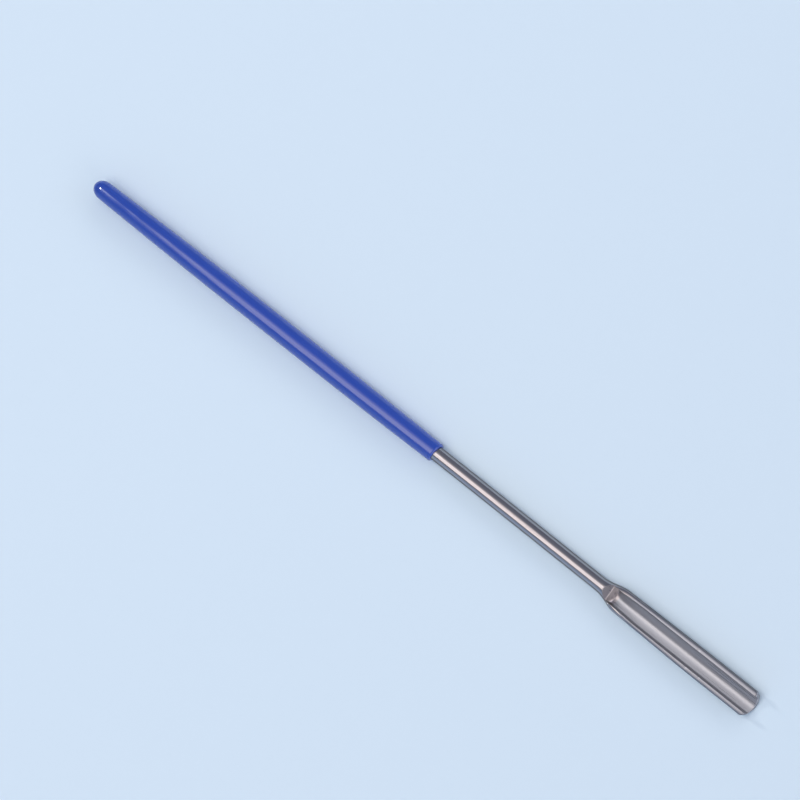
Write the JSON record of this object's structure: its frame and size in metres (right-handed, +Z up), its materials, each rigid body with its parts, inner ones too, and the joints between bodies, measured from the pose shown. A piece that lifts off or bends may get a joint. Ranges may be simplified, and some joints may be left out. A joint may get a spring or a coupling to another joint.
{
  "type": "lab spatula",
  "caption": "Micro scoop spatula: a round steel rod pressed into an open trough at one end, with a closed vinyl sleeve over the other end as a handle.",
  "frame": {"origin": "under the middle of the tool's outline, on the table that it lies on", "axes": "+X along the tool from the handle's tip to the scoop's end, +Z up, the way the trough opens"},
  "size_m": [0.23, 0.0076, 0.0065],
  "materials": {
    "stainless_steel": "polished rod, trough brushed along its length",
    "blue_vinyl": "smooth dipped or moulded vinyl with a soft gloss"
  },
  "bodies": {
    "root": {"scoop_rod": "stainless_steel", "handle_sleeve": "blue_vinyl"}
  },
  "joints": []
}
